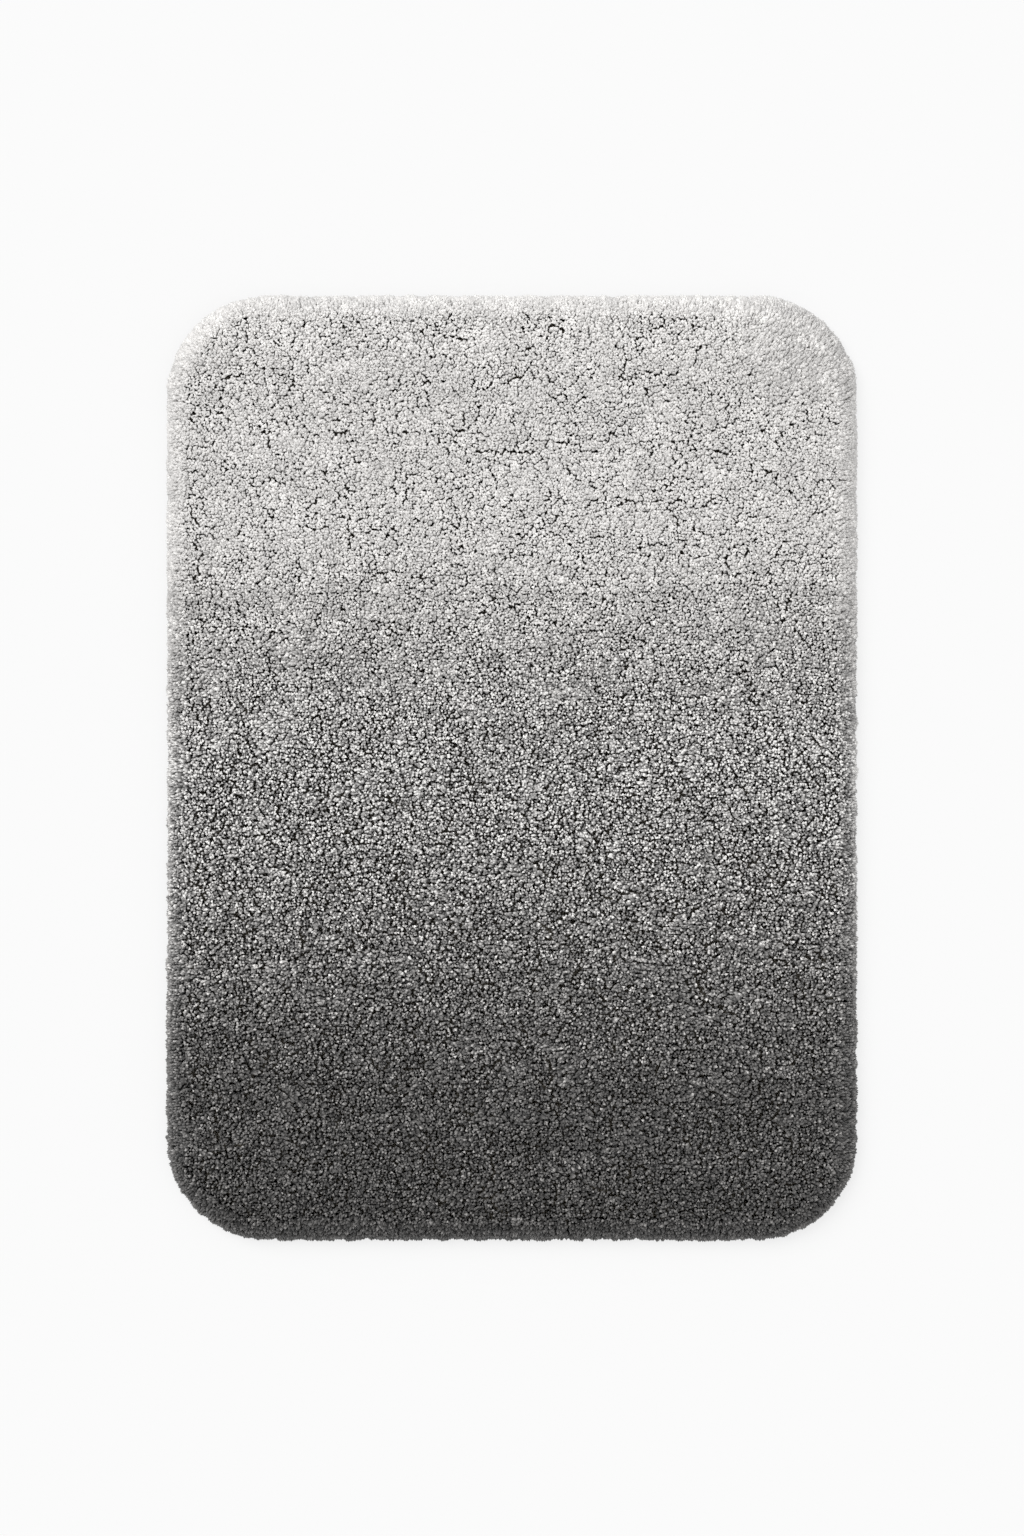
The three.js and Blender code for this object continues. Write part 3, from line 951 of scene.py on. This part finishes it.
# The cloth's flat tapes: their width, and how level a tape's top is across the other's ridge.
CLOTH_TAPE = 2.2 * MM
TAPE_LEVEL = 0.6
WEFT_COLOUR, WARP_COLOUR = (0.52, 0.46, 0.36), (0.64, 0.58, 0.47)
CLOTH_PATCHES = 30 * MM
CLOTH_STREAK = 2 * MM
STREAK_STRETCH = (1, 0.04, 1)
# The tone of the gaps between tapes: painted shade.
CLOTH_GAP_SHADE = 0.35
CLOTH_PLAIN_TONE, CLOTH_TONE_CHANGE = 0.75, 0.25
CLOTH_ROUGHEST, CLOTH_SMOOTHER = 0.8, 0.3
STREAK_RELIEF = 0.1
CLOTH_DEPTH = 0.35 * MM


def plain_weave(tree, at, pitch):
    """A plain weave of flat tapes: how high each spot stands, and 1 where the warp is on top."""
    split = tree.add("ShaderNodeSeparateXYZ", {}, at)
    x, y = split / pitch, split.output(1) / pitch
    over = ((x.floor() + y.floor()) / 2).fraction() * 2
    across_x, across_y = ridged(x.fraction()), ridged(y.fraction())
    warp = across_x * (across_y * (1 - TAPE_LEVEL) + TAPE_LEVEL)
    weft = across_y * (across_x * (1 - TAPE_LEVEL) + TAPE_LEVEL)
    return over * warp + (1 - over) * weft, over


def woven_cloth():
    """Primary backing: undyed woven tape, with painted shade in the gaps between tapes, and tapes that are
    not all one tone.
    """
    tree = Tree("backing_cloth")
    at = tree.object_place()
    height, over = plain_weave(tree, at, CLOTH_TAPE)
    uneven = tree.noise(at, CLOTH_PATCHES)
    stretched = tree.add("ShaderNodeMapping", {}, at, sockets={"Scale": STREAK_STRETCH})
    streak = tree.noise(stretched, CLOTH_STREAK, 1)
    # Painted shade: the colour is darker where the tapes dip into the gaps.
    shade = CLOTH_GAP_SHADE + (1 - CLOTH_GAP_SHADE) * height
    change = CLOTH_PLAIN_TONE + CLOTH_TONE_CHANGE * uneven + CLOTH_TONE_CHANGE * streak
    return tree.finish(
        Base_Color=tinted(tree, tree.blend(over, WEFT_COLOUR, WARP_COLOUR), shade * change),
        Roughness=CLOTH_ROUGHEST - CLOTH_SMOOTHER * height,
        Normal=tree.bump(height + streak * STREAK_RELIEF, CLOTH_DEPTH),
    )


# The latex: its rows of tufts, its blisters and its clouding.
TUFT_ROW_PITCH = 4 * MM
BLISTER_SIZE, BLISTER_DETAIL = 3 * MM, 4
LATEX_CLOUDS, LATEX_CLEAR, LATEX_CLOUDY = 24 * MM, 0.35, 0.65
LATEX_CLEAR_COLOUR, LATEX_CLOUDY_COLOUR = (0.60, 0.52, 0.38), (0.70, 0.63, 0.50)
ROW_RELIEF, BLISTER_RELIEF, LATEX_WEAVE_RELIEF = 0.5, 0.5, 0.2
# Tone in the hollows and its rise over the raised rows, blisters and weave: painted shade in the hollows.
LATEX_PAINTED_HOLLOW_TONE, LATEX_PAINTED_RISE = 0.82, 0.25
LATEX_SMOOTHEST, BLISTER_ROUGHER = 0.38, 0.3
LATEX_DEPTH = 0.3 * MM


def latex():
    """Cured latex over the back of the cloth: it fills the weave and swells over each row of tufts, its
    colour painted darker in the hollows between as painted shade.
    """
    tree = Tree("latex_coat")
    at = tree.object_place()
    height, _ = plain_weave(tree, at, CLOTH_TAPE)
    rows = abs((tree.add("ShaderNodeSeparateXYZ", {}, at) * (math.pi / TUFT_ROW_PITCH)).sine())
    blisters = tree.noise(at, BLISTER_SIZE, BLISTER_DETAIL)
    cloudy = tree.eased_range(tree.noise(at, LATEX_CLOUDS), LATEX_CLEAR, LATEX_CLOUDY)
    relief = rows * ROW_RELIEF + blisters * BLISTER_RELIEF + height * LATEX_WEAVE_RELIEF
    colour = tree.blend(cloudy, LATEX_CLEAR_COLOUR, LATEX_CLOUDY_COLOUR)
    return tree.finish(
        Base_Color=tinted(tree, colour, LATEX_PAINTED_HOLLOW_TONE + LATEX_PAINTED_RISE * relief),
        Roughness=LATEX_SMOOTHEST + BLISTER_ROUGHER * blisters,
        Normal=tree.bump(relief, LATEX_DEPTH),
    )


# The rubber: its pores, its slow change of tone, and the print of the cloth in it.
PORE_SIZE, PORE_DETAIL, PORE_LOW, PORE_HIGH = 0.7 * MM, 2, 0.3, 0.5
RUBBER_CLOUDS, RUBBER_CLOUD_DETAIL, RUBBER_CLEAR, RUBBER_CLOUDY = 60 * MM, 5, 0.2, 0.8
RUBBER_CLEAR_COLOUR, RUBBER_CLOUDY_COLOUR = (0.53, 0.515, 0.48), (0.58, 0.565, 0.53)
PRINT_RELIEF, PORE_RELIEF = 0.7, 0.3
# Tone in the hollows of the print and pores, and its rise where they stand up: painted shade.
RUBBER_PAINTED_HOLLOW_TONE, RUBBER_PAINTED_RISE = 0.86, 0.16
RUBBER_ROUGHEST, PORE_SMOOTHER = 0.78, 0.2
RUBBER_DEPTH = 0.16 * MM
# The pips: clean rubber down their sides, and scuffed over the part that presses on the floor.
PIP_CLEAN_COLOUR, PIP_SCUFFED_COLOUR = (0.56, 0.545, 0.50), (0.40, 0.395, 0.38)
SCUFFED_FROM = 0.7
PIP_LOW_TONE, PIP_TONE_CHANGE = 0.97, 0.06
PIP_SMOOTHEST, SCUFF_ROUGHER = 0.5, 0.3


def rubber_skin():
    """Anti-slip rubber: thin enough to take the print of the cloth, with pores, a slightly uneven tone, and
    painted shade in the hollows of the print and pores.
    """
    tree = Tree("anti_slip_skin")
    at = tree.object_place()
    height, _ = plain_weave(tree, at, CLOTH_TAPE)
    pores = tree.eased_range(tree.noise(at, PORE_SIZE, PORE_DETAIL), PORE_LOW, PORE_HIGH)
    clouds = tree.noise(at, RUBBER_CLOUDS, RUBBER_CLOUD_DETAIL)
    cloudy = tree.eased_range(clouds, RUBBER_CLEAR, RUBBER_CLOUDY)
    colour = tree.blend(cloudy, RUBBER_CLEAR_COLOUR, RUBBER_CLOUDY_COLOUR)
    relief = height * PRINT_RELIEF + pores * PORE_RELIEF
    return tree.finish(
        Base_Color=tinted(tree, colour, RUBBER_PAINTED_HOLLOW_TONE + RUBBER_PAINTED_RISE * relief),
        Roughness=RUBBER_ROUGHEST - PORE_SMOOTHER * pores,
        Normal=tree.bump(relief, RUBBER_DEPTH),
    )


def rubber_pip():
    """The pips: the same rubber, glossier down their sides and scuffed grey where they press on the floor."""
    tree = Tree("anti_slip_pips")
    _, row, share = strand_map(tree)
    scuffed = tree.eased_range(share, SCUFFED_FROM, 1.0)
    colour = tree.blend(scuffed, PIP_CLEAN_COLOUR, PIP_SCUFFED_COLOUR)
    return tree.finish(
        Base_Color=tinted(tree, colour, PIP_LOW_TONE + PIP_TONE_CHANGE * row),
        Roughness=PIP_SMOOTHEST + SCUFF_ROUGHER * scuffed,
    )


# Thread: fibres in a ply, how much of the tone comes from painted shade in the grooves between plies and from
# the fibres, how much of the relief the fibres give, and how much tones differ.
THREAD_FIBRES = 9
PLY_PAINTED_SHADE, FIBRE_TONE = 0.8, 0.2
FIBRE_RELIEF = 0.2
THREAD_DARKEST, THREAD_TONE_CHANGE = 0.85, 0.3
FIBRE_ROUGHER = 0.15
THREAD_SHEEN = 0.2
THREAD_DEPTH = 0.12 * MM
SEAM_THREAD = {
    "dark": (0.10, 0.098, 0.095), "pale": (0.26, 0.255, 0.25), "plies": 3, "rubbed": 0.2, "roughness": 0.6,
}
LABEL_THREAD = {
    "dark": (0.50, 0.49, 0.46), "pale": (0.80, 0.79, 0.76), "plies": 1, "rubbed": 0.0, "roughness": 0.45,
}


def twisted_thread(name, dark, pale, plies, rubbed, roughness):
    """Spun thread: its plies wind round it with a groove between them, painted darker as painted shade, and
    the tone differs by turns.
    """
    tree = Tree(name)
    along, row, share = strand_map(tree)
    round_ply = ridged((along * (plies / THREAD_TURN_SPAN)).fraction())
    fibre = (along * (plies * THREAD_FIBRES / THREAD_TURN_SPAN)).fraction()
    worn = (1 - abs(share * 2 - 1)) * rubbed
    colour = tree.blend(round_ply * PLY_PAINTED_SHADE + fibre * FIBRE_TONE, dark, pale)
    return tree.finish(
        Base_Color=tinted(tree, colour, THREAD_DARKEST + THREAD_TONE_CHANGE * row + worn),
        Roughness=roughness + FIBRE_ROUGHER * fibre,
        Sheen_Weight=THREAD_SHEEN,
        Sheen_Roughness=SHEEN_ROUGHNESS,
        Normal=tree.bump(round_ply + fibre * FIBRE_RELIEF, THREAD_DEPTH),
    )


# Satin tape: its ribs, the length that a yarn floats over them and how far each rib's floats are set on.
RIB_PITCH = 0.42 * MM
FLOAT_LENGTH, FLOAT_STEP = 0.3 * MM, 0.4
RIB_RELIEF, FLOAT_RELIEF = 0.7, 0.3
# Shares of its half width and half length where the firm edge and the sealed end start and are full.
SELVEDGE_FROM, SELVEDGE_FULL = 0.88, 0.92
SEALED_FROM, SEALED_FULL = 0.975, 0.995
SATIN_PATCHES = 9 * MM
SATIN_DULL, SATIN_BRIGHT = (0.74, 0.735, 0.71), (0.83, 0.825, 0.80)
# Tone in the grooves and its rise over the ribs and floats: painted shade in the grooves.
SATIN_PAINTED_GROOVE_TONE, SATIN_PAINTED_RIB_RISE = 0.84, 0.16
SELVEDGE_DARKER, SEALED_DARKER = 0.07, 0.25
SATIN_ROUGHEST, SATIN_SMOOTHER, SELVEDGE_ROUGHER = 0.5, 0.15, 0.2
SATIN_SHEEN, SATIN_SHEEN_ROUGHNESS = 0.15, 0.4
SATIN_DEPTH = 0.06 * MM


def satin_tape():
    """The label's tape: fine satin ribs with painted shade between them, a firm woven edge, and ends sealed
    by heat.
    """
    low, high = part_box("care_label")
    middle = (low + high) / 2
    half = high - middle
    tree = Tree("care_label_tape")
    at = tree.add("ShaderNodeMapping", {}, tree.object_place(), sockets={"Location": tuple(-middle)})
    split = tree.add("ShaderNodeSeparateXYZ", {}, at)
    x, y = split, split.output(1)
    rib = abs((y * (math.pi / RIB_PITCH)).sine())
    floats = (x / FLOAT_LENGTH + (y / RIB_PITCH).floor() * FLOAT_STEP).fraction()
    weave = rib * RIB_RELIEF + ridged(floats) * FLOAT_RELIEF
    selvedge = tree.eased_range(abs(y) / half.y, SELVEDGE_FROM, SELVEDGE_FULL)
    sealed = tree.eased_range(abs(x) / half.x, SEALED_FROM, SEALED_FULL)
    base = tree.blend(tree.noise(at, SATIN_PATCHES), SATIN_DULL, SATIN_BRIGHT)
    # Painted shade between the ribs and floats; the firm edge and the sealed ends are darker in their own
    # right.
    shade = SATIN_PAINTED_GROOVE_TONE + SATIN_PAINTED_RIB_RISE * weave
    shade = shade * (1 - SELVEDGE_DARKER * selvedge) * (1 - SEALED_DARKER * sealed)
    return tree.finish(
        Base_Color=tinted(tree, base, shade),
        Roughness=SATIN_ROUGHEST - SATIN_SMOOTHER * weave + SELVEDGE_ROUGHER * selvedge,
        Sheen_Weight=SATIN_SHEEN,
        Sheen_Roughness=SATIN_SHEEN_ROUGHNESS,
        Normal=tree.bump(weave, SATIN_DEPTH),
    )


# ---- Camera, floor and light ----
LENS = 85
SENSOR = 36
# The length of floor that the camera sees from straight above, measured at a height in the pile.
SEEN_LENGTH = 1.2224
SEEN_LEVEL = 0.014
FLOOR_SIZE = 30
FLOOR_GREY = (0.16, 0.16, 0.16, 1)
FLOOR_ROUGHNESS = 0.9
FLOOR_GLOSS = 0.1
FLOOR_GLOW = 0.75
WHITE = (1, 1, 1, 1)
# The studio's strength as a light, and how much more it has where the camera sees it.
STUDIO_LIGHT, STUDIO_SEEN = 0.65, 0.33
# Name, strength, spread in degrees and the way the light falls.
LAMPS = (("key", 2.3, 40, (1, -1, -1.4)), ("fill", 0.9, 70, (-1, 1, -0.9)))


def stage():
    scene = bpy.context.scene
    scene.view_settings.view_transform = "Standard"
    camera = bpy.data.cameras.new("camera")
    camera.lens = LENS
    camera.sensor_width = SENSOR
    distance = SEEN_LENGTH / 2 / (camera.sensor_width / 2 / camera.lens)
    eye = bpy.data.objects.new("camera", camera)
    eye.location = (0, 0, distance + SEEN_LEVEL)
    scene.collection.objects.link(eye)
    scene.camera = eye

    bm = bmesh.new()
    bmesh.ops.create_grid(bm, x_segments=1, y_segments=1, size=FLOOR_SIZE)
    floor = object_from("floor", bm)
    floor.data.materials.append(Tree("floor_white").finish(
        Base_Color=FLOOR_GREY, Roughness=FLOOR_ROUGHNESS, Specular_IOR_Level=FLOOR_GLOSS,
        Emission_Color=WHITE, Emission_Strength=FLOOR_GLOW,
    ))

    world = bpy.data.worlds.new("studio")
    world.use_nodes = True
    nodes, links = world.node_tree.nodes, world.node_tree.links
    background = nodes["Background"]
    background.inputs["Color"].default_value = WHITE
    seen = nodes.new("ShaderNodeLightPath").outputs["Is Camera Ray"]
    strength = nodes.new("ShaderNodeMath")
    strength.operation = "MULTIPLY_ADD"
    strength.inputs[1].default_value = STUDIO_SEEN
    strength.inputs[2].default_value = STUDIO_LIGHT
    links.new(seen, strength.inputs[0])
    links.new(strength.outputs[0], background.inputs["Strength"])
    scene.world = world

    for name, energy, spread, way in LAMPS:
        light = bpy.data.lights.new(name, "SUN")
        light.angle = math.radians(spread)
        light.energy = energy
        lamp = bpy.data.objects.new(name, light)
        lamp.rotation_euler = Vector(way).to_track_quat("-Z", "Y").to_euler()
        scene.collection.objects.link(lamp)


stage()

# The pile, strip by strip. The first and the last strip also take the tips that stand past the mat's ends.
strands = pile_strands()
for index, node in enumerate(SHADES):
    node_low, node_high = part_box(node)
    low = node_low.y if index < len(SHADES) - 1 else -1
    high = node_high.y if index else 1
    inside = (strands["y"] >= low - HALF_STRIP_GAP) & (strands["y"] < high + HALF_STRIP_GAP)
    part = {key: value[inside] for key, value in strands.items()}
    along = np.clip((part["y"] - node_low.y) / (node_high.y - node_low.y), 0, 1)
    part["along"] = along[:, None]
    strand_piece(
        f"pile_strands_{index + 1:02d}", node, STRAND_SIDES, STRAND_PROFILE,
        part, TURN_SPAN, pile_yarn(index), lump=STRAND_LUMPS, seed=index,
    )

# The underside.
label_low, label_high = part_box("care_label")
window = label_low - Vector((WINDOW_MARGIN,) * 3), label_high + Vector((WINDOW_MARGIN,) * 3)
skin = flat_layer("anti_slip_skin", "anti_slip_backing", SKIN_BOTTOM, SKIN_ROUNDING, [window])
finished(skin, "anti_slip_backing", rubber_skin())
strand_piece(
    "anti_slip_pips", "anti_slip_backing", PIP_SIDES, PIP_PROFILE, rubber_pips(window),
    THREAD_TURN_SPAN, rubber_pip(),
)
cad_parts["latex_coat"].data.materials.clear()
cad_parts["latex_coat"].data.materials.append(latex())

# The backing cloth and the thread round its edge.
cloth = flat_layer("backing_cloth_woven", "backing_cloth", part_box("backing_cloth")[0].z, CLOTH_ROUNDING)
finished(cloth, "backing_cloth", woven_cloth())
seam = strand_piece(
    "overlock_wraps", "overlock_edge", WRAP_SIDES, WRAP_PROFILE, seam_wraps(),
    THREAD_TURN_SPAN, twisted_thread("edge_thread", **SEAM_THREAD), lump=WRAP_LUMPS,
)

# The care label.
tape = finished(label_tape(), "care_label", satin_tape())
stitches = strand_piece(
    "label_stitches", "label_stitching", PLY_SIDES, PLY_PROFILE, label_stitches(),
    THREAD_TURN_SPAN, twisted_thread("label_thread", **LABEL_THREAD), lump=PLY_LUMPS,
)
